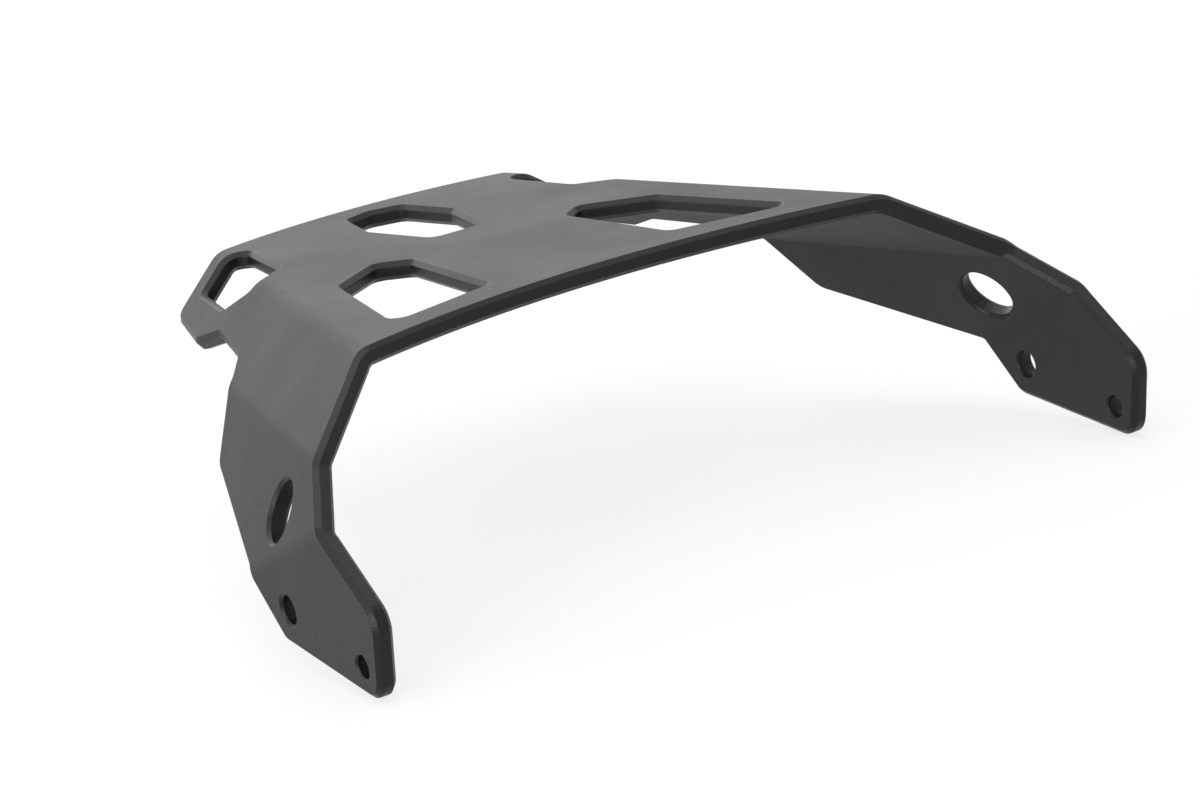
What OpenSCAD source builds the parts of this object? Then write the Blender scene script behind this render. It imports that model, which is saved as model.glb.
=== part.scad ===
// Luggage rack for the tail of a motorcycle: one plate, cut flat and folded at three bends on each side.
// The flat outline and its openings are drawn first, then wrapped over the bends.
// X runs across the rack, Y from its front edge to its rear edge, and Z up.
// The origin is the middle of the deck's top face.

/* [Plate] */
// Thickness of the plate
plate_t = 5; // [4:0.5:7]
// Inside radius of every bend
bend_r = 6.5; // [5:0.5:9]
// Chamfer along the outer edges, on both faces
edge_chamfer = 0.8; // [0.4:0.1:1.2]
// Chamfer round the openings, on both faces
opening_chamfer = 1.4; // [0.6:0.1:1.6]

/* [Deck] */
// Width of the deck between its front corners
deck_front_w = 181; // [170:1:196]
// Width of the deck between its rear corners
deck_rear_w = 102; // [94:1:110]
// Distance between the front corners and the rear corners
deck_len = 172; // [166:1:182]
// How far the middle of the front edge curves back
front_bow = 13; // [4:1:18]
// How far the middle of the rear edge curves out
rear_bow = 8; // [3:1:14]
// Rounding of the deck's front and rear corners
deck_corner_r = [14, 7]; // [3:0.5:18]

/* [Side flanges] */
// How far each flange slopes down from the deck
flange_angle = 39; // [32:1:44]
// Front end of the arm's bend: along the flange's own bend, and out from it
arm_bend_front = [-28, 31]; // [-32:0.5:36]
// Rear end of the arm's bend: along the flange's own bend, and out from it
arm_bend_rear = [65.5, 34]; // [28:0.5:72]
// Rear end of the flange's lower edge, where the tab begins
tab_root = [83, 21.5]; // [18:0.5:88]
// Inner corner of the notch in front of the tab
tab_notch = [112, 19.5]; // [16:0.5:116]
// Front corner of the tab
tab_front = [123.5, 26]; // [22:0.5:128]
// Rear corner of the tab
tab_rear = [157.5, 24]; // [20:0.5:162]

/* [Arms] */
// How far each arm turns down from its flange
arm_angle = 24.5; // [18:0.5:30]
// Front end of the foot's bend: along the arm's bend, and out from it
foot_bend_front = [-18.5, 15.5]; // [-22:0.5:19]
// Distance from the front end of the foot's bend to the rear end
foot_bend_len = 52; // [46:0.5:58]
// Rear corner of the arm
arm_elbow = [87, 18.5]; // [14:0.5:92]
// Middle of the arm's large hole
arm_hole = [18, 18]; // [15:0.5:21]
// Diameter of the arm's large hole
arm_hole_d = 18; // [14:0.5:20]

/* [Feet] */
// Upper front corner of the foot: along the foot's bend, and out from it
foot_top = [-15, 30.5]; // [-18:0.5:34]
// Lower front corner of the foot
foot_tip = [-1, 50]; // [-4:0.5:54]
// Lower rear corner of the foot
foot_heel = [45.5, 20]; // [16:0.5:50]
// Rounding of the foot's three corners
foot_corner_r = [9, 7, 5]; // [2:0.5:12]
// Middle of the rear bolt hole
rear_bolt = [37, 14]; // [12:0.5:39]
// Diameter of the rear bolt hole
rear_bolt_d = 8.4; // [6.4:0.1:9]
// Middle of the front bolt hole
front_bolt = [1.5, 37]; // [0:0.5:40]
// Diameter of the front bolt hole
front_bolt_d = 6.6; // [5.3:0.1:8.4]
// Chamfer round the rear bolt hole, the front bolt hole and the arm's large hole
hole_chamfer = [0.7, 0.4, 0.6]; // [0.2:0.1:1]

/* [Deck openings] */
// Rear opening: distance from its rear point to the front corners of the deck
rear_opening_y = 162; // [158:0.5:165]
// Rear opening: length from front edge to rear point
rear_opening_len = 59; // [50:0.5:64]
// Rear opening: half widths at the front edge, at the widest place and at the rear corners
rear_opening_half_w = [10.5, 16.5, 11]; // [8:0.5:20]
// Front openings: distance from the middle of the rack to their inner edge
front_opening_in = 26; // [22:0.5:30]
// Front openings: least width between their outer edge and the flange's bend
front_opening_land = 12; // [10:0.5:16]
// Front openings: distance from the front corners of the deck to their front and rear points
front_opening_y = [16, 100]; // [12:0.5:104]
// Rounding in the corners of the deck's openings
opening_r = 3; // [1.6:0.2:4]

/* [Corner slots] */
// Slot, corner next to the rear edge: along the flange's bend, and out from it
slot_rear_in = [154.5, -6]; // [-9:0.5:156]
// Slot, innermost corner
slot_front_in = [125.5, -9]; // [-12:0.5:128]
// Slot, front corner
slot_front = [112.5, -2]; // [-4:0.5:116]
// Slot, outer front corner
slot_out = [124.5, 15]; // [12:0.5:127]
// Slot, outer rear corner
slot_rear_out = [151.5, 14.5]; // [11:0.5:154]
// Rounding in the corners of the slots
slot_r = 4; // [2:0.5:5]

/* [Hidden] */

mid_r = bend_r + plate_t / 2;
bend_step = 6.5;
arc_step = 15;
bow_steps = 16;
cut_clearance = 1;
tiny = 1e-6;
$fn = 64;

function unit(v) = v / norm(v);
function cross_z(a, b) = a.x * b.y - a.y * b.x;
function right_of(v) = [v.y, -v.x];
function mirrored(v) = [-v.x, v.y];

// A bend line is [a point on it, its direction, the way out across it, its angle].
function bend_between(a, b, angle) = [a, unit(b - a), right_of(unit(b - a)), angle];
function bend_point(bend, place) = bend[0] + bend[1] * place[0] + bend[2] * place[1];
function bend_zone(bend) = mid_r * bend[3] * PI / 180;
function bend_out(bend, p) = (p - bend[0]) * bend[2];
function bend_mirrored(bend) = [mirrored(bend[0]), mirrored(bend[1]), mirrored(bend[2]), bend[3]];

// The flange's bend joins the deck's corners.
front_corner = [deck_front_w / 2, 0];
rear_corner = [deck_rear_w / 2, deck_len];
flange_bend = bend_between(front_corner, rear_corner, flange_angle);

// The arm's bend runs nearly alongside it.
arm_bend = bend_between(
    bend_point(flange_bend, arm_bend_front),
    bend_point(flange_bend, arm_bend_rear),
    arm_angle
);

// The foot's bend has the one direction and angle that leave both feet upright and parallel.
function turned_down(v, bend) = let (
    along = [v.x, v.y] * bend[1],
    out = [v.x, v.y] * bend[2],
    out_turned = out * cos(bend[3]) + v.z * sin(bend[3]),
    level = bend[1] * along + bend[2] * out_turned
) [level.x, level.y, v.z * cos(bend[3]) - out * sin(bend[3])];
function arm_vector(v) = turned_down(turned_down(v, arm_bend), flange_bend);
arm_along_x = arm_vector([arm_bend[1].x, arm_bend[1].y, 0]).x;
arm_out_x = arm_vector([arm_bend[2].x, arm_bend[2].y, 0]).x;
foot_bend_dir = unit(arm_bend[1] * arm_out_x - arm_bend[2] * arm_along_x);
foot_angle = 90 - asin(arm_vector([0, 0, 1]).x);
foot_front = bend_point(arm_bend, foot_bend_front);
foot_bend = bend_between(foot_front, foot_front + foot_bend_dir, foot_angle);

right_bends = [flange_bend, arm_bend, foot_bend];
all_bends = [right_bends, [for (bend = right_bends) bend_mirrored(bend)]];

// Corner points are [x, y, rounding], anticlockwise round the flat plate.
function corner(p, r) = [p.x, p.y, r];
function mirrored_corners(corners) = [for (i = [len(corners) - 1:-1:0]) [-corners[i].x, corners[i].y, corners[i][2]]];

function bowed_edge(half_w, y, bow) = let (r = (half_w * half_w + bow * bow) / (2 * bow))
    [for (i = [1:bow_steps - 1]) let (x = half_w * (2 * i / bow_steps - 1)) [x, y + bow - r + sqrt(r * r - x * x), 0]];

right_corners = [
    corner(front_corner, deck_corner_r[0]),
    corner(arm_bend.x, 12),
    corner(foot_front, 8),
    corner(bend_point(foot_bend, foot_top), foot_corner_r[0]),
    corner(bend_point(foot_bend, foot_tip), foot_corner_r[1]),
    corner(bend_point(foot_bend, foot_heel), foot_corner_r[2]),
    corner(bend_point(foot_bend, [foot_bend_len, 0]), 8),
    corner(bend_point(arm_bend, arm_elbow), 8),
    corner(bend_point(flange_bend, arm_bend_rear), 10),
    corner(bend_point(flange_bend, tab_root), 4),
    corner(bend_point(flange_bend, tab_notch), 4),
    corner(bend_point(flange_bend, tab_front), 4),
    corner(bend_point(flange_bend, tab_rear), 7),
    corner(rear_corner, deck_corner_r[1])
];

rear_edge = bowed_edge(deck_rear_w / 2, deck_len, rear_bow);
plate_corners = concat(
    bowed_edge(deck_front_w / 2, 0, front_bow),
    right_corners,
    [for (i = [len(rear_edge) - 1:-1:0]) rear_edge[i]],
    mirrored_corners(right_corners)
);

// The rear opening is a seven-sided shape across the middle.
rear_opening_half = [
    [rear_opening_half_w[0], rear_opening_y - rear_opening_len, opening_r],
    [rear_opening_half_w[1], rear_opening_y - rear_opening_len / 2, opening_r],
    [rear_opening_half_w[2], rear_opening_y - 4.5, opening_r]
];
rear_opening_corners = concat(
    rear_opening_half,
    [[0, rear_opening_y, opening_r]],
    mirrored_corners(rear_opening_half)
);

// Each front opening keeps an even land beside the flange's bend.
front_opening_len = front_opening_y[1] - front_opening_y[0];
function beside_bend(y) = let (y_share = (y - front_corner.y) / deck_len)
    front_corner.x + (rear_corner.x - front_corner.x) * y_share - front_opening_land / flange_bend[1].y;
front_opening_corners = [
    [beside_bend(front_opening_y[0]), front_opening_y[0], opening_r],
    [beside_bend(front_opening_y[1] - 25), front_opening_y[1] - 25, opening_r],
    [front_opening_in + 11, front_opening_y[1] - 9, opening_r],
    [front_opening_in, front_opening_y[1] - 20, opening_r],
    [front_opening_in + 5, front_opening_y[0] + 14, opening_r]
];

// Each corner slot runs over the flange's bend and leaves the tab as a loop.
slot_corners = [
    corner(bend_point(flange_bend, slot_front), slot_r),
    corner(bend_point(flange_bend, slot_out), slot_r),
    corner(bend_point(flange_bend, slot_rear_out), slot_r),
    corner(bend_point(flange_bend, slot_rear_in), slot_r),
    corner(bend_point(flange_bend, slot_front_in), slot_r)
];

// A corner with a rounding becomes an arc that touches both its edges.
function corner_arc(before, c, after) = let (
    p = [c.x, c.y],
    d1 = unit(p - [before.x, before.y]),
    d2 = unit([after.x, after.y] - p),
    turn = atan2(cross_z(d1, d2), d1 * d2),
    start = p - d1 * c[2] * tan(abs(turn) / 2),
    centre = start - right_of(d1) * c[2] * sign(turn),
    steps = max(1, ceil(abs(turn) / arc_step))
) c[2] == 0 ? [p] : [for (i = [0:steps])
    let (a = turn * i / steps, v = start - centre)
    centre + [v.x * cos(a) - v.y * sin(a), v.x * sin(a) + v.y * cos(a)]];

function rounded(corners) = let (n = len(corners))
    [for (i = [0:n - 1]) each corner_arc(corners[(i + n - 1) % n], corners[i], corners[(i + 1) % n])];

// The vector that moves a corner out so that both its edges move out by 1.
function way_out(before, p, after) = let (
    n1 = right_of(unit(p - before)),
    n2 = right_of(unit(after - p))
) (n1 + n2) / (1 + n1 * n2);

function grown(outline, by) = let (n = len(outline))
    [for (i = [0:n - 1]) outline[i] + by * way_out(outline[(i + n - 1) % n], outline[i], outline[(i + 1) % n])];

function sorted(list) = len(list) < 2 ? list : let (
    pivot = list[0][0],
    less = [for (item = list) if (item[0] < pivot) item],
    same = [for (item = list) if (item[0] == pivot) item],
    more = [for (item = list) if (item[0] > pivot) item]
) concat(sorted(less), same, sorted(more));

// Every bend is wrapped in flat strips between rulings, lines across which it turns by about bend_step.
function strip_count(bend) = ceil(bend[3] / bend_step);
function rulings(bend) = [for (i = [0:strip_count(bend)]) bend_zone(bend) * (i / strip_count(bend) - 1 / 2)];

// Where an edge crosses rulings it gets a point, [share of the edge, place, way out across the edge].
function crossings(p, q) = sorted([
    for (side = all_bends)
        for (bend = side)
            for (r = rulings(bend))
                let (s_p = bend_out(bend, p) - r, s_q = bend_out(bend, q) - r)
                    if (s_p * s_q < 0)
                        let (share = s_p / (s_p - s_q))
                            [share, p + (q - p) * share, right_of(unit(q - p))]
]);

// The ring round a face: [place, way out] for each corner and each crossing.
function face_ring(outline) = let (n = len(outline)) [
    for (i = [0:n - 1])
        let (before = outline[(i + n - 1) % n], p = outline[i], after = outline[(i + 1) % n])
            each concat([[p, way_out(before, p, after)]], [for (c = crossings(p, after)) [c[1], c[2]]])
];

// One bend applied to a point: place is where it lies now, and p is where it lies on the flat plate.
function bent(place, p, bend) = let (
    zone = bend_zone(bend),
    past = bend_out(bend, p) + zone / 2,
    from_start = [place.x, place.y] - bend[0],
    out = from_start * bend[2] - zone / 2,
    height = place.z + mid_r,
    strips = strip_count(bend),
    strip = min(floor(past / zone * strips), strips - 1),
    share = past / zone * strips - strip,
    a1 = bend[3] * strip / strips,
    a2 = bend[3] * (strip + 1) / strips,
    turned = past < zone
        ? height * [(1 - share) * sin(a1) + share * sin(a2), (1 - share) * cos(a1) + share * cos(a2)]
        : [out * cos(bend[3]) + height * sin(bend[3]), height * cos(bend[3]) - out * sin(bend[3])],
    level = bend[0] + bend[1] * (from_start * bend[1]) + bend[2] * (turned[0] - zone / 2)
) past <= 0 ? place : [level.x, level.y, turned[1] - mid_r];

function folded_right(p, h) = bent(bent(bent([p.x, p.y, h], p, foot_bend), p, arm_bend), p, flange_bend);
function folded(p, h) = p.x >= 0
    ? folded_right(p, h)
    : let (q = folded_right(mirrored(p), h)) [-q.x, q.y, q.z];

// Each face is split into panels and strips, so that every piece of it is flat.
function edge_out(bend, end) = end * bend_zone(bend) / 2;
function between(bend, p, low, high) = let (s = bend_out(bend, p)) s > low - tiny && s < high + tiny;
function on_deck(p) = between(flange_bend, [abs(p.x), p.y], -deck_front_w, edge_out(flange_bend, -1));
function on_flange(p) = between(flange_bend, p, edge_out(flange_bend, 1), deck_front_w)
    && between(arm_bend, p, -deck_front_w, edge_out(arm_bend, -1));
function on_arm(p) = between(arm_bend, p, edge_out(arm_bend, 1), deck_front_w)
    && between(foot_bend, p, -deck_front_w, edge_out(foot_bend, -1));
function on_foot(p) = between(foot_bend, p, edge_out(foot_bend, 1), deck_front_w);

function face_pieces(ring) = let (
    n = len(ring),
    places = [for (item = ring) item[0]],
    deck = [for (i = [0:n - 1]) if (on_deck(places[i])) i],
    panels = [for (side = [1, -1]) each [
        [for (i = [0:n - 1]) if (on_flange([side * places[i].x, places[i].y])) i],
        [for (i = [0:n - 1]) if (on_arm([side * places[i].x, places[i].y])) i],
        [for (i = [0:n - 1]) if (on_foot([side * places[i].x, places[i].y])) i]
    ]],
    strips = [for (side = all_bends) for (bend = side) for (k = [1:strip_count(bend)])
        let (r = rulings(bend))
            [for (i = [0:n - 1]) if (between(bend, places[i], r[k - 1], r[k])) i]]
) [for (piece = concat([deck], panels, strips)) if (len(piece) > 2) piece];

// Points run level by level, and pieces are the flat parts of one face. A level is [height, growth].
module solid_between(points, pieces, level_count) {
    n = len(points) / level_count;
    last = level_count - 1;
    top = [for (piece = pieces) [for (i = [len(piece) - 1:-1:0]) piece[i]]];
    bottom = [for (piece = pieces) [for (i = piece) i + last * n]];
    walls = [
        for (k = [0:last - 1])
            for (i = [0:n - 1])
                let (j = (i + 1) % n, upper = k * n, lower = (k + 1) * n)
                    each [[upper + i, upper + j, lower + i], [upper + j, lower + j, lower + i]]
    ];
    resize([0, 0, 0]) polyhedron(points, concat(top, walls, bottom));
}

module plate_blank() {
    half_t = plate_t / 2;
    levels = [
        [half_t, 0],
        [half_t - edge_chamfer, edge_chamfer],
        [edge_chamfer - half_t, edge_chamfer],
        [-half_t, 0]
    ];
    ring = face_ring(grown(rounded(plate_corners), -edge_chamfer));
    points = [for (level = levels) for (item = ring) folded(item[0] + item[1] * level[1], level[0])];
    solid_between(points, face_pieces(ring), len(levels));
}

// An opening is cut square to the panel that it lies on, with its chamfers flared past both faces.
module opening(outline) {
    half_t = plate_t / 2;
    flare = opening_chamfer + cut_clearance;
    levels = [
        [half_t + cut_clearance, flare],
        [half_t - opening_chamfer, 0],
        [opening_chamfer - half_t, 0],
        [-half_t - cut_clearance, flare]
    ];
    points = [for (level = levels) for (p = grown(outline, level[1])) [p.x, p.y, level[0]]];
    solid_between(points, [[for (i = [0:len(outline) - 1]) i]], len(levels));
}

// The part of an outline that lies on one side of a line along a bend.
function clipped(outline, bend, limit, side) = let (n = len(outline)) [
    for (i = [0:n - 1])
        let (
            p = outline[i],
            q = outline[(i + 1) % n],
            s_p = side * (bend_out(bend, p) - limit),
            s_q = side * (bend_out(bend, q) - limit)
        )
            each concat(s_p > 0 ? [p] : [], s_p * s_q < 0 ? [p + (q - p) * s_p / (s_p - s_q)] : [])
];

// A corner slot is cut from the deck and from the flange, and the two cuts meet inside the bend.
module corner_slot() {
    outline = rounded(slot_corners);
    overlap = bend_zone(flange_bend) / 4;
    opening(clipped(outline, flange_bend, overlap, -1));
    past_bend(flange_bend)
        opening(clipped(outline, flange_bend, -overlap, 1));
}

module past_bend(bend) {
    heading = atan2(bend[2].y, bend[2].x);
    half_zone = bend_zone(bend) / 2;
    translate([bend[0].x, bend[0].y, 0])
        rotate(heading)
            translate([-half_zone, 0, -mid_r])
                rotate([0, bend[3], 0])
                    translate([-half_zone, 0, mid_r])
                        rotate(-heading)
                            translate([-bend[0].x, -bend[0].y, 0])
                                children();
}

module round_hole(place, d, chamfer) {
    flare = chamfer + cut_clearance;
    translate([place.x, place.y, 0]) {
        cylinder(h = plate_t + 2 * cut_clearance, d = d, center = true);
        for (side = [0, 1])
            mirror([0, 0, side])
                translate([0, 0, plate_t / 2 - chamfer])
                    cylinder(h = flare, d1 = d, d2 = d + 2 * flare);
    }
}

module arm_and_foot_holes() {
    past_bend(flange_bend)
        past_bend(arm_bend) {
            round_hole(bend_point(arm_bend, arm_hole), arm_hole_d, hole_chamfer[2]);
            past_bend(foot_bend) {
                round_hole(bend_point(foot_bend, rear_bolt), rear_bolt_d, hole_chamfer[0]);
                round_hole(bend_point(foot_bend, front_bolt), front_bolt_d, hole_chamfer[1]);
            }
        }
}

module rack_plate() {
    color([0.16, 0.16, 0.17])
        translate([0, -deck_len / 2, -plate_t / 2])
            difference() {
                plate_blank();
                opening(rounded(rear_opening_corners));
                for (side = [0, 1])
                    mirror([side, 0, 0]) {
                        opening(rounded(front_opening_corners));
                        corner_slot();
                        arm_and_foot_holes();
                    }
            }
}

rack_plate();
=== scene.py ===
"""Studio scene of a folded motorcycle luggage rack.

The plate is drawn flat, in millimetres, with all its edges and holes, and is then wrapped over its
bends, as the real one is made. It keeps to the box and the bolt holes of the solid that it replaces.
"""

import math

import bmesh
import bpy
import numpy as np
from mathutils import Matrix, Vector
from mathutils.geometry import delaunay_2d_cdt


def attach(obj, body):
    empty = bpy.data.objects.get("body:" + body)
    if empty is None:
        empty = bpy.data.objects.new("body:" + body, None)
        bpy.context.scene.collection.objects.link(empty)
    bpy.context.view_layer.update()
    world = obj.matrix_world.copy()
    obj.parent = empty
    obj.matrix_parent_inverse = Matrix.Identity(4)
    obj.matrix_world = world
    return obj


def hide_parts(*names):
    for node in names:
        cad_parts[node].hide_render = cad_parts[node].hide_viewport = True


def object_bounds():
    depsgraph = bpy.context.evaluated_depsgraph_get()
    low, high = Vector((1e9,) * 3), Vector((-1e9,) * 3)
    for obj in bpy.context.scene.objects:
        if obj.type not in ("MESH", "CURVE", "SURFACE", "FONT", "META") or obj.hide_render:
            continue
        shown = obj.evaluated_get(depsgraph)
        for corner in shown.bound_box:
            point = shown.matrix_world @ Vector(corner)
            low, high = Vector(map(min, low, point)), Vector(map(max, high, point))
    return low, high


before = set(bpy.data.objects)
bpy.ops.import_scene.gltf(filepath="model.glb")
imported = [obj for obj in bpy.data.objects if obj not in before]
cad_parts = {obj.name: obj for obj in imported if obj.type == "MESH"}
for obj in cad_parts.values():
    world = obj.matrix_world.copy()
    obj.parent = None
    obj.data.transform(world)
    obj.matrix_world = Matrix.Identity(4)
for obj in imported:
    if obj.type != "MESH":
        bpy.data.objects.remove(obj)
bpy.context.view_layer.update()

MM = 0.001

# Plate
PLATE_T = 6.0
BEND_R = 3.5
EDGE_CHAMFER = 1.5
OPENING_CHAMFER = 1.6
EDGE_SOFTNESS = 0.2

# Deck
DECK_FRONT_W = 181.5
DECK_REAR_W = 108.0
DECK_LEN = 171.0
FRONT_BOW = 16.5
REAR_BOW = 8.5
DECK_CORNER_R = (14.0, 7.0)

# Side flanges, in places along the flange's bend and out from it
FLANGE_ANGLE = 39.8
ARM_BEND_FRONT = (-27.0, 30.5)
ARM_BEND_REAR = (77.5, 29.0)
ARM_BEND_EDGE_R = (12.0, 10.0)
TAB_ROOT = (88.0, 22.0)
TAB_NOTCH = (117.5, 20.0)
TAB_FRONT = (132.0, 26.5)
TAB_REAR = (164.5, 24.0)
TAB_CORNER_R = (4.0, 4.0, 4.0, 7.0)

# Arms, in places along the arm's bend and out from it
ARM_ANGLE = 22.8
FOOT_BEND_FRONT = (-20.0, 14.5)
FOOT_BEND_LEN = 55.5
FOOT_BEND_EDGE_R = (8.0, 8.0)
ARM_ELBOW = (90.0, 22.5)
ARM_ELBOW_R = 8.0
ARM_HOLE = (17.5, 18.3)
ARM_HOLE_D = 18.0

# Feet, in places along the foot's bend and out from it
FOOT_TOP = (-16.3, 27.4)
FOOT_TIP = (-1.5, 48.5)
FOOT_HEEL = (46.0, 21.5)
FOOT_CORNER_R = (9.0, 7.0, 5.0)
REAR_BOLT = (37.0, 14.0)
REAR_BOLT_D = 8.4
FRONT_BOLT = (1.5, 37.0)
FRONT_BOLT_D = 6.6
HOLE_CHAMFER = (0.85, 0.6, 1.1)
HOLE_CHAMFER_UNDER = (0.5, 0.5, 1.0)

# Deck openings, in places out from the middle and back from the deck's front corners
REAR_OPENING_FRONT = (8.5, 107.5)
REAR_OPENING_WIDE = (14.5, 138.0)
REAR_OPENING_REAR = (9.5, 163.5)
REAR_OPENING_POINT = 166.5
FRONT_OPENING_LAND = 16.5
FRONT_OPENING_OUTER_Y = (21.5, 78.5)
FRONT_OPENING_POINT = (37.5, 93.0)
FRONT_OPENING_REAR_IN = (29.5, 86.0)
FRONT_OPENING_FRONT_IN = (33.0, 31.5)
OPENING_R = 3.0

# Corner slots, in places along the flange's bend and out from it
SLOT_REAR_IN = (165.5, -6.0)
SLOT_FRONT_IN = (130.5, -8.0)
SLOT_FRONT = (118.0, 1.5)
SLOT_OUT = (129.0, 12.5)
SLOT_REAR_OUT = (157.5, 12.5)
SLOT_R = 3.0

# Fineness of the mesh
BEND_STEP = 3.0
ARC_STEP = 5.0
BOW_STEPS = 48
HOLE_STEPS = 72
BEND_MARGIN = 0.35

# Coat and lights
COAT_DARK = (0.009, 0.009, 0.0093)
COAT_PALE = (0.012, 0.012, 0.0123)
# Painted shade: the cut edges' walls and chamfers are coloured darker than the coat
CUT_EDGE_PAINTED_SHADE = (0.003, 0.003, 0.003)
ROUGHNESS = 0.52
SPECULAR = 0.25
PAPER_GLOW = 0.77
WORLD = 0.45
OVERHEAD = 24
REAR = 18
LEFT_REAR = 17
LEFT_FRONT = 11

# Camera, solved from the photograph: place in millimetres, turn, tilt and roll in degrees
CAMERA_PLACE = (-508.0, -957.1, 233.4)
CAMERA_AZIMUTH = 29.3
CAMERA_ELEVATION = 15.05
CAMERA_ROLL = 9.32
CAMERA_LENS = 106.12

MID_R = BEND_R + PLATE_T / 2
HALF_T = PLATE_T / 2


def right_of(v):
    return Vector((v.y, -v.x))


class Bend:
    """A bend line on the flat plate, with the way along it, the way out across it and its angle."""

    def __init__(self, start, end, degrees):
        self.start = start
        self.along = (end - start).normalized()
        self.out = right_of(self.along)
        self.angle = math.radians(degrees)
        self.zone = MID_R * self.angle

    def point(self, place):
        return self.start + self.along * place[0] + self.out * place[1]

    def turned_down(self, v):
        level = v.xy
        along = level.dot(self.along)
        out = level.dot(self.out)
        turned = out * math.cos(self.angle) + v.z * math.sin(self.angle)
        drop = v.z * math.cos(self.angle) - out * math.sin(self.angle)
        return (self.along * along + self.out * turned).to_3d() + Vector((0, 0, drop))


front_corner = Vector((DECK_FRONT_W / 2, 0))
rear_corner = Vector((DECK_REAR_W / 2, DECK_LEN))
flange_bend = Bend(front_corner, rear_corner, FLANGE_ANGLE)
arm_bend = Bend(flange_bend.point(ARM_BEND_FRONT), flange_bend.point(ARM_BEND_REAR), ARM_ANGLE)


def upright_foot_bend():
    """The one bend line and angle on the arm that leave the foot upright and lengthwise."""

    def on_arm(v):
        return flange_bend.turned_down(arm_bend.turned_down(v))

    along_x = on_arm(arm_bend.along.to_3d()).x
    out_x = on_arm(arm_bend.out.to_3d()).x
    direction = arm_bend.along * out_x - arm_bend.out * along_x
    angle = 90 - math.degrees(math.asin(on_arm(Vector((0, 0, 1))).x))
    start = arm_bend.point(FOOT_BEND_FRONT)
    return Bend(start, start + direction, angle)


foot_bend = upright_foot_bend()
right_bends = (flange_bend, arm_bend, foot_bend)


# Flat outlines, as lists of (x, y, rounding), anticlockwise
def corner(p, r):
    return (p[0], p[1], r)


def mirrored(corners):
    return [(-x, y, r) for x, y, r in reversed(corners)]


def bowed_edge(half_w, y, bow):
    r = (half_w * half_w + bow * bow) / (2 * bow)
    xs = [half_w * (2 * i / BOW_STEPS - 1) for i in range(1, BOW_STEPS)]
    return [(x, y + bow - r + math.sqrt(r * r - x * x), 0) for x in xs]


def plate_corners():
    right = [
        corner(front_corner, DECK_CORNER_R[0]),
        corner(arm_bend.start, ARM_BEND_EDGE_R[0]),
        corner(foot_bend.start, FOOT_BEND_EDGE_R[0]),
        corner(foot_bend.point(FOOT_TOP), FOOT_CORNER_R[0]),
        corner(foot_bend.point(FOOT_TIP), FOOT_CORNER_R[1]),
        corner(foot_bend.point(FOOT_HEEL), FOOT_CORNER_R[2]),
        corner(foot_bend.point((FOOT_BEND_LEN, 0)), FOOT_BEND_EDGE_R[1]),
        corner(arm_bend.point(ARM_ELBOW), ARM_ELBOW_R),
        corner(flange_bend.point(ARM_BEND_REAR), ARM_BEND_EDGE_R[1]),
        corner(flange_bend.point(TAB_ROOT), TAB_CORNER_R[0]),
        corner(flange_bend.point(TAB_NOTCH), TAB_CORNER_R[1]),
        corner(flange_bend.point(TAB_FRONT), TAB_CORNER_R[2]),
        corner(flange_bend.point(TAB_REAR), TAB_CORNER_R[3]),
        corner(rear_corner, DECK_CORNER_R[1]),
    ]
    front = bowed_edge(DECK_FRONT_W / 2, 0, FRONT_BOW)
    rear = bowed_edge(DECK_REAR_W / 2, DECK_LEN, REAR_BOW)
    return front + right + rear[::-1] + mirrored(right)


def rear_opening_corners():
    places = (REAR_OPENING_FRONT, REAR_OPENING_WIDE, REAR_OPENING_REAR)
    right = [corner(place, OPENING_R) for place in places]
    return right + [(0, REAR_OPENING_POINT, OPENING_R)] + mirrored(right)


def front_opening_corners():
    def beside_bend(y):
        bend_x = front_corner.x + (rear_corner.x - front_corner.x) * y / DECK_LEN
        return bend_x - FRONT_OPENING_LAND / flange_bend.along.y, y

    places = [beside_bend(y) for y in FRONT_OPENING_OUTER_Y]
    places += [FRONT_OPENING_POINT, FRONT_OPENING_REAR_IN, FRONT_OPENING_FRONT_IN]
    return [corner(place, OPENING_R) for place in places]


def slot_corners():
    places = (SLOT_FRONT, SLOT_OUT, SLOT_REAR_OUT, SLOT_REAR_IN, SLOT_FRONT_IN)
    return [corner(flange_bend.point(place), SLOT_R) for place in places]


def corner_arc(before, c, after):
    p = Vector(c[:2])
    if c[2] == 0:
        return [p]
    d1 = (p - Vector(before[:2])).normalized()
    d2 = (Vector(after[:2]) - p).normalized()
    turn = math.atan2(d1.cross(d2), d1.dot(d2))
    start = p - d1 * c[2] * math.tan(abs(turn) / 2)
    centre = start - right_of(d1) * c[2] * math.copysign(1, turn)
    steps = max(2, math.ceil(math.degrees(abs(turn)) / ARC_STEP))
    return [centre + Matrix.Rotation(turn * i / steps, 2) @ (start - centre) for i in range(steps + 1)]


def rounded(corners):
    points = []
    for i, c in enumerate(corners):
        points += corner_arc(corners[i - 1], c, corners[(i + 1) % len(corners)])
    return np.array([tuple(p) for p in points])


def circle(centre, d):
    angles = np.arange(HOLE_STEPS) * 2 * math.pi / HOLE_STEPS
    return np.array(centre[:]) + d / 2 * np.column_stack([np.cos(angles), np.sin(angles)])


def ways_out(ring):
    """For each corner, the vector that moves both its edges out by 1."""
    steps = np.roll(ring, -1, axis=0) - ring
    steps /= np.linalg.norm(steps, axis=1)[:, None]
    after = np.column_stack([steps[:, 1], -steps[:, 0]])
    before = np.roll(after, 1, axis=0)
    return (before + after) / (1 + (before * after).sum(1))[:, None]


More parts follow.
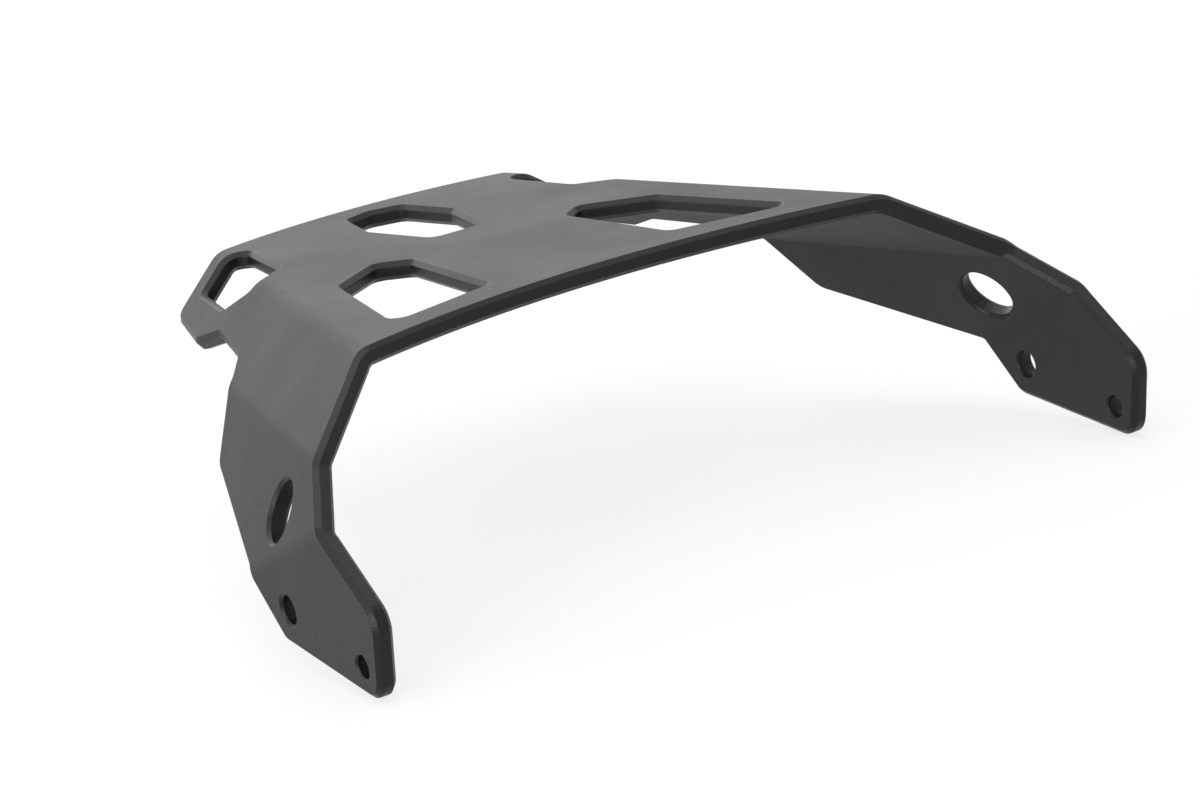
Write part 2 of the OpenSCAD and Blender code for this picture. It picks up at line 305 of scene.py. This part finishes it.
def edge_profile(chamfers, inward):
    """Levels of (height, growth) from the top face round the edge to the bottom face."""
    soft = EDGE_SOFTNESS
    diagonal = soft / math.sqrt(2)
    nip = soft * 0.15

    def half(chamfer):
        return [
            (HALF_T, chamfer + soft),
            (HALF_T - nip, chamfer + nip),
            (HALF_T - diagonal, chamfer - diagonal),
            (HALF_T - chamfer + diagonal, diagonal),
            (HALF_T - chamfer + nip, nip),
            (HALF_T - chamfer - soft, 0),
        ]

    levels = half(chamfers[0]) + [(-h, g) for h, g in reversed(half(chamfers[1]))]
    sign = 1 if inward else -1
    return [(h, sign * g) for h, g in levels]


class Loop:
    """A closed line on the flat plate, the plate's own edge or the rim of a hole."""

    def __init__(self, ring, chamfers, is_hole):
        self.ring = ring
        self.levels = edge_profile(chamfers, is_hole)
        self.out = ways_out(ring)
        steps = np.linalg.norm(np.roll(ring, -1, axis=0) - ring, axis=1)
        length = steps.sum()
        turn = (np.cumsum(steps) - steps) * 2 * math.pi / length
        self.run = np.column_stack([np.cos(turn), np.sin(turn), np.zeros(len(ring))]) * length / 2 / math.pi * MM

    def at(self, level):
        height, growth = self.levels[level]
        flat = self.ring + self.out * growth
        return np.column_stack([flat, np.full(len(flat), height)])


def mirrored_ring(ring):
    return ring[::-1] * (-1, 1)


def all_loops():
    edge = (EDGE_CHAMFER, EDGE_CHAMFER)
    opening = (OPENING_CHAMFER, OPENING_CHAMFER)
    loops = [
        Loop(rounded(plate_corners()), edge, False),
        Loop(rounded(rear_opening_corners()), opening, True),
    ]
    paired = [
        (rounded(front_opening_corners()), opening),
        (rounded(slot_corners()), opening),
        (circle(foot_bend.point(REAR_BOLT), REAR_BOLT_D), (HOLE_CHAMFER[0], HOLE_CHAMFER_UNDER[0])),
        (circle(foot_bend.point(FRONT_BOLT), FRONT_BOLT_D), (HOLE_CHAMFER[1], HOLE_CHAMFER_UNDER[1])),
        (circle(arm_bend.point(ARM_HOLE), ARM_HOLE_D), (HOLE_CHAMFER[2], HOLE_CHAMFER_UNDER[2])),
    ]
    for ring, chamfers in paired:
        loops.append(Loop(ring, chamfers, True))
        loops.append(Loop(mirrored_ring(ring), chamfers, True))
    return loops


def inside(points, rings):
    """Which points lie inside the outer ring and outside every hole."""
    odd = np.zeros(len(points), bool)
    for ring in rings:
        a, b = ring, np.roll(ring, -1, axis=0)
        for (ax, ay), (bx, by) in zip(a, b):
            spans = (ay > points[:, 1]) != (by > points[:, 1])
            if spans.any():
                x = ax + (points[:, 1] - ay) * (bx - ax) / (by - ay)
                odd ^= spans & (points[:, 0] < x)
    return odd


def face_triangles(rings):
    """Triangles between the rings, as indices into all their points in order."""
    points = np.vstack(rings)
    edges = []
    start = 0
    for ring in rings:
        n = len(ring)
        edges += [(start + i, start + (i + 1) % n) for i in range(n)]
        start += n
    coords = [Vector(p) for p in points]
    out_points, _, faces, origins, _, _ = delaunay_2d_cdt(coords, edges, [], 0, 1e-7)
    centres = np.array([sum((out_points[i] for i in f), Vector((0, 0))) / len(f) for f in faces])
    keep = inside(centres, rings)
    return [[origins[i][0] for i in f] for f, kept in zip(faces, keep) if kept]


def flat_plate():
    """The whole plate before bending, as a bmesh with a face layer that marks its cut edges."""
    loops = all_loops()
    bm = bmesh.new()
    cut_edge = bm.faces.layers.float.new("cut_edge")
    edge_run = bm.verts.layers.float_vector.new("edge_run")
    grid = []
    for loop in loops:
        rows = [[bm.verts.new(p) for p in loop.at(k)] for k in range(len(loop.levels))]
        for row in rows:
            for vert, run in zip(row, loop.run):
                vert[edge_run] = run
        grid.append(rows)
    for rows in grid:
        for upper, lower in zip(rows, rows[1:]):
            for i in range(len(upper)):
                j = (i + 1) % len(upper)
                face = bm.faces.new((upper[i], lower[i], lower[j], upper[j]))
                face[cut_edge] = 1.0
    triangles = face_triangles([loop.at(0)[:, :2] for loop in loops])
    top = [v for rows in grid for v in rows[0]]
    bottom = [v for rows in grid for v in rows[-1]]
    for a, b, c in triangles:
        bm.faces.new((top[a], top[b], top[c]))
        bm.faces.new((bottom[c], bottom[b], bottom[a]))
    bmesh.ops.recalc_face_normals(bm, faces=bm.faces)
    return bm


def cut_along_bends(bm):
    for bend in right_bends:
        strips = math.ceil(math.degrees(bend.angle) / BEND_STEP)
        places = [bend.zone * (i / strips - 0.5) for i in range(strips + 1)]
        places = [places[0] - BEND_MARGIN] + places + [places[-1] + BEND_MARGIN]
        for place in places:
            at = bend.start + bend.out * place
            for side in (1, -1):
                bmesh.ops.bisect_plane(
                    bm,
                    geom=bm.verts[:] + bm.edges[:] + bm.faces[:],
                    dist=1e-5,
                    plane_co=(side * at.x, at.y, 0),
                    plane_no=(side * bend.out.x, bend.out.y, 0),
                )


def folded(flat):
    """Places on the flat plate, wrapped over the bends, the farthest bend first."""
    side = np.where(flat[:, 0] < 0, -1.0, 1.0)
    start = flat[:, :2] * np.column_stack([side, np.ones(len(flat))])
    place = np.column_stack([start, flat[:, 2]])
    for bend in reversed(right_bends):
        origin, along, out = (np.array(v[:]) for v in (bend.start, bend.along, bend.out))
        turned = np.clip((start - origin) @ out + bend.zone / 2, 0, bend.zone)
        angle = turned / MID_R
        level = place[:, :2] - origin
        beyond = level @ out + bend.zone / 2 - turned
        height = place[:, 2] + MID_R
        across = beyond * np.cos(angle) + height * np.sin(angle) - bend.zone / 2
        place = np.column_stack([
            origin + np.outer(level @ along, along) + np.outer(across, out),
            height * np.cos(angle) - beyond * np.sin(angle) - MID_R,
        ])
    place[:, 0] *= side
    return place - (0, DECK_LEN / 2, HALF_T)


def even_normals(mesh):
    """Corner normals weighted by area, so that flat panels stay flat beside their soft edges."""
    count = len(mesh.vertices)
    normals = np.zeros((count, 3))
    for polygon in mesh.polygons:
        weighted = np.array(polygon.normal) * polygon.area
        for i in polygon.vertices:
            normals[i] += weighted
    normals /= np.linalg.norm(normals, axis=1)[:, None]
    mesh.normals_split_custom_set_from_vertices(normals)


def make_plate():
    bm = flat_plate()
    cut_along_bends(bm)
    bm.verts.ensure_lookup_table()
    flat = np.array([v.co[:] for v in bm.verts])
    for vert, place in zip(bm.verts, folded(flat) * MM):
        vert.co = place
    mesh = bpy.data.meshes.new("rack_plate_look")
    bm.to_mesh(mesh)
    bm.free()
    mesh.polygons.foreach_set("use_smooth", [True] * len(mesh.polygons))
    even_normals(mesh)
    plate = bpy.data.objects.new("rack_plate_look", mesh)
    bpy.context.collection.objects.link(plate)
    return plate


def new_material(name):
    material = bpy.data.materials.new(name)
    material.use_nodes = True
    nodes = material.node_tree.nodes
    return material, nodes, material.node_tree.links, nodes["Principled BSDF"]


def noise(nodes, links, coords, scale, detail=2.0, roughness=0.5):
    node = nodes.new("ShaderNodeTexNoise")
    node.inputs["Scale"].default_value = scale
    node.inputs["Detail"].default_value = detail
    node.inputs["Roughness"].default_value = roughness
    links.new(coords, node.inputs["Vector"])
    return node.outputs["Fac"]


def remap(nodes, links, value, low, high, to_low, to_high):
    node = nodes.new("ShaderNodeMapRange")
    for name, number in zip(("From Min", "From Max", "To Min", "To Max"), (low, high, to_low, to_high)):
        node.inputs[name].default_value = number
    links.new(value, node.inputs["Value"])
    return node.outputs["Result"]


def mixed_color(nodes, links, share, a, b):
    node = nodes.new("ShaderNodeMix")
    node.data_type = "RGBA"
    node.inputs["A"].default_value = (*a, 1)
    node.inputs["B"].default_value = (*b, 1)
    links.new(share, node.inputs["Factor"])
    return node.outputs["Result"]


def bump(nodes, links, height, distance, strength, before=None):
    node = nodes.new("ShaderNodeBump")
    node.inputs["Distance"].default_value = distance
    node.inputs["Strength"].default_value = strength
    links.new(height, node.inputs["Height"])
    if before:
        links.new(before, node.inputs["Normal"])
    return node.outputs["Normal"]


def scaled(nodes, links, value, factor, plus=0.0):
    node = nodes.new("ShaderNodeMath")
    node.operation = "MULTIPLY_ADD"
    node.inputs[1].default_value = factor
    node.inputs[2].default_value = plus
    links.new(value, node.inputs[0])
    return node.outputs[0]


def combined(nodes, links, operation, a, b):
    node = nodes.new("ShaderNodeMath")
    node.operation = operation
    links.new(a, node.inputs[0])
    links.new(b, node.inputs[1])
    return node.outputs[0]


def attribute(nodes, name, output):
    node = nodes.new("ShaderNodeAttribute")
    node.attribute_name = name
    return node.outputs[output]


def painted_over(nodes, links, under, share, color):
    node = nodes.new("ShaderNodeMix")
    node.data_type = "RGBA"
    node.inputs["B"].default_value = (*color, 1)
    links.new(share, node.inputs["Factor"])
    links.new(under, node.inputs["A"])
    return node.outputs["Result"]


def coated_plate():
    """Black powder coat: fine grain, soft drifts in gloss, milled ribs on the cut edges, faint dust, and painted
    shade that colours the cut edges darker than the coat.
    """
    material, nodes, links, shader = new_material("black_powder_coat")
    coords = nodes.new("ShaderNodeTexCoord").outputs["Object"]
    cut_edge = attribute(nodes, "cut_edge", "Fac")
    edge_run = attribute(nodes, "edge_run", "Vector")
    grain = noise(nodes, links, coords, 1600, 3, 0.6)
    orange_peel = noise(nodes, links, coords, 520, 2)
    drift = noise(nodes, links, coords, 22, 3)
    ribs = noise(nodes, links, edge_run, 1300, 1)
    stretch = nodes.new("ShaderNodeMapping")
    stretch.inputs["Scale"].default_value = (30, 80, 30)
    links.new(coords, stretch.inputs["Vector"])
    streaks = noise(nodes, links, stretch.outputs["Vector"], 1, 4, 0.6)

    uneven = combined(nodes, links, "ADD", scaled(nodes, links, drift, 0.7), scaled(nodes, links, streaks, 0.3))
    coat = mixed_color(nodes, links, uneven, COAT_DARK, COAT_PALE)
    specks = remap(nodes, links, noise(nodes, links, coords, 900, 0), 0.80, 0.84, 0, 0.05)
    dusty = painted_over(nodes, links, coat, specks, (0.30, 0.30, 0.29))
    # Painted shade: the cut edges are mixed towards a darker colour than the coat
    links.new(painted_over(nodes, links, dusty, scaled(nodes, links, cut_edge, 0.7), CUT_EDGE_PAINTED_SHADE), shader.inputs["Base Color"])

    gloss = remap(nodes, links, uneven, 0.35, 0.65, ROUGHNESS - 0.035, ROUGHNESS + 0.035)
    grainy = combined(nodes, links, "ADD", gloss, scaled(nodes, links, grain, 0.2, -0.1))
    polish = scaled(nodes, links, cut_edge, -0.12)
    links.new(combined(nodes, links, "ADD", grainy, polish), shader.inputs["Roughness"])
    shader.inputs["Specular IOR Level"].default_value = SPECULAR

    peel = bump(nodes, links, orange_peel, 0.00004, 0.4)
    fine = bump(nodes, links, grain, 0.00009, 1.0, peel)
    milled = combined(nodes, links, "MULTIPLY", ribs, cut_edge)
    links.new(bump(nodes, links, milled, 0.0001, 0.7, fine), shader.inputs["Normal"])
    return material


def seen_directly(nodes, links):
    """1 for what the camera sees, also in a reflection or through glass, and else 0."""
    path = nodes.new("ShaderNodeLightPath")
    seen = combined(nodes, links, "MAXIMUM", path.outputs["Is Camera Ray"], path.outputs["Is Glossy Ray"])
    return combined(nodes, links, "MAXIMUM", seen, path.outputs["Is Transmission Ray"])


def make_floor():
    size = 6.0
    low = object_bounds()[0][2] - 0.0005
    mesh = bpy.data.meshes.new("floor")
    square = [(-size, -size, low), (size, -size, low), (size, size, low), (-size, size, low)]
    mesh.from_pydata(square, [], [(0, 1, 2, 3)])
    floor = bpy.data.objects.new("floor", mesh)
    bpy.context.collection.objects.link(floor)
    material, nodes, links, shader = new_material("pale_paper")
    shader.inputs["Base Color"].default_value = (0.90, 0.90, 0.90, 1)
    shader.inputs["Roughness"].default_value = 0.9
    paper_glow = nodes.new("ShaderNodeEmission")
    mix = nodes.new("ShaderNodeMixShader")
    seen = seen_directly(nodes, links)
    links.new(remap(nodes, links, seen, 0, 1, 0, PAPER_GLOW), mix.inputs[0])
    links.new(shader.outputs[0], mix.inputs[1])
    links.new(paper_glow.outputs[0], mix.inputs[2])
    links.new(mix.outputs[0], nodes["Material Output"].inputs["Surface"])
    mesh.materials.append(material)


def softbox(name, place, target, size, power):
    light = bpy.data.lights.new(name, "AREA")
    light.shape = "RECTANGLE"
    light.size, light.size_y = size
    light.energy = power
    obj = bpy.data.objects.new(name, light)
    obj.location = place
    obj.rotation_euler = (Vector(target) - Vector(place)).to_track_quat("-Z", "Y").to_euler()
    bpy.context.collection.objects.link(obj)


def light_studio():
    softbox("overhead", (0.0, 0.3, 1.7), (0, 0, 0), (2.2, 2.2), OVERHEAD)
    softbox("rear", (0.4, 2.2, 1.0), (0, 0, 0), (3.0, 1.4), REAR)
    softbox("left_rear", (-1.7, 0.5, 0.35), (0, 0, 0), (1.2, 0.7), LEFT_REAR)
    softbox("left_front", (-1.5, -0.75, 0.30), (0, 0, 0), (0.35, 0.6), LEFT_FRONT)
    world = bpy.data.worlds.new("studio")
    bpy.context.scene.world = world
    world.use_nodes = True
    nodes, links = world.node_tree.nodes, world.node_tree.links
    background = nodes["Background"]
    seen = seen_directly(nodes, links)
    links.new(remap(nodes, links, seen, 0, 1, WORLD, 1.0), background.inputs["Strength"])
    background.inputs["Color"].default_value = (1, 1, 1, 1)


def make_camera():
    azimuth, elevation, roll = (math.radians(a) for a in (CAMERA_AZIMUTH, CAMERA_ELEVATION, CAMERA_ROLL))
    forward = Vector((
        math.sin(azimuth) * math.cos(elevation),
        math.cos(azimuth) * math.cos(elevation),
        -math.sin(elevation),
    ))
    level = forward.cross(Vector((0, 0, 1))).normalized()
    down = forward.cross(level)
    right = level * math.cos(roll) + down * math.sin(roll)
    up = level * math.sin(roll) - down * math.cos(roll)
    camera = bpy.data.objects.new("camera", bpy.data.cameras.new("camera"))
    camera.data.lens = CAMERA_LENS
    camera.data.sensor_width = 36
    camera.data.clip_start = 0.05
    camera.matrix_world = Matrix.Translation(Vector(CAMERA_PLACE) * MM) @ Matrix((right, up, -forward)).transposed().to_4x4()
    bpy.context.collection.objects.link(camera)
    bpy.context.scene.camera = camera


make_camera()
plate = make_plate()
plate.data.materials.append(coated_plate())
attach(plate, "root")
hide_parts("rack_plate")
make_floor()
light_studio()
bpy.context.scene.view_settings.view_transform = "Standard"
